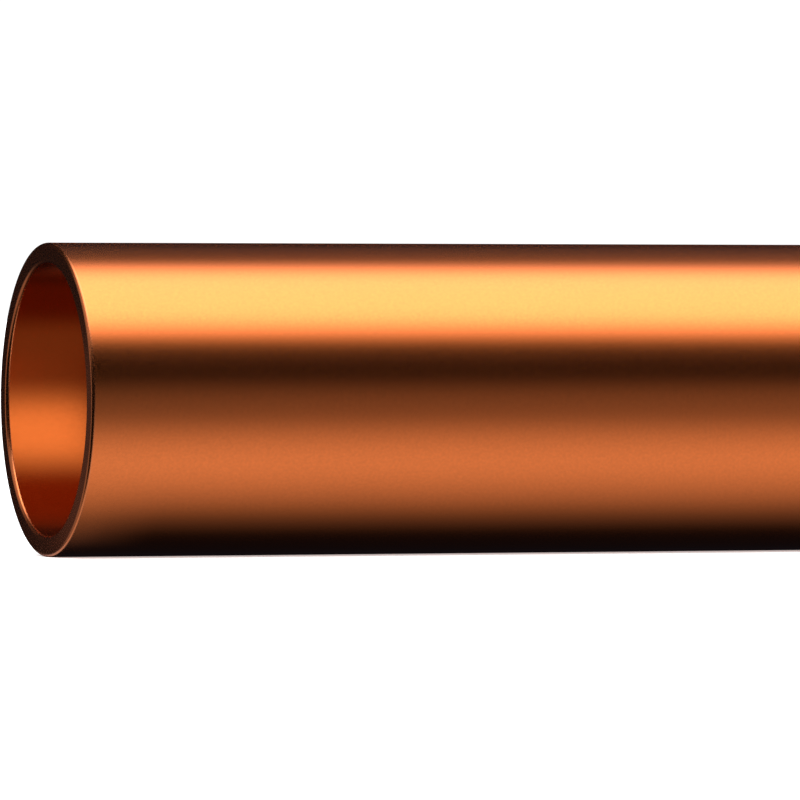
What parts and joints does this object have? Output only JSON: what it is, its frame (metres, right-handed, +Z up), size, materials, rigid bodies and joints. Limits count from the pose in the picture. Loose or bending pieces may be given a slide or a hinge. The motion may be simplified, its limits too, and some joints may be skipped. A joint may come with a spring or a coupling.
{
  "type": "copper pipe length",
  "caption": "Straight length of drawn copper water pipe, round and thin-walled with an open bore, cut square and lightly deburred at both ends.",
  "frame": {"origin": "centre of the near cut, on the pipe's axis", "axes": "+X down the bore from the near cut to the far cut, +Z up; the pipe lies on its side"},
  "size_m": [1, 0.015, 0.015],
  "materials": {
    "drawn_copper": "satin drawn copper"
  },
  "bodies": {
    "root": {"copper_tube": "drawn_copper"}
  },
  "joints": []
}
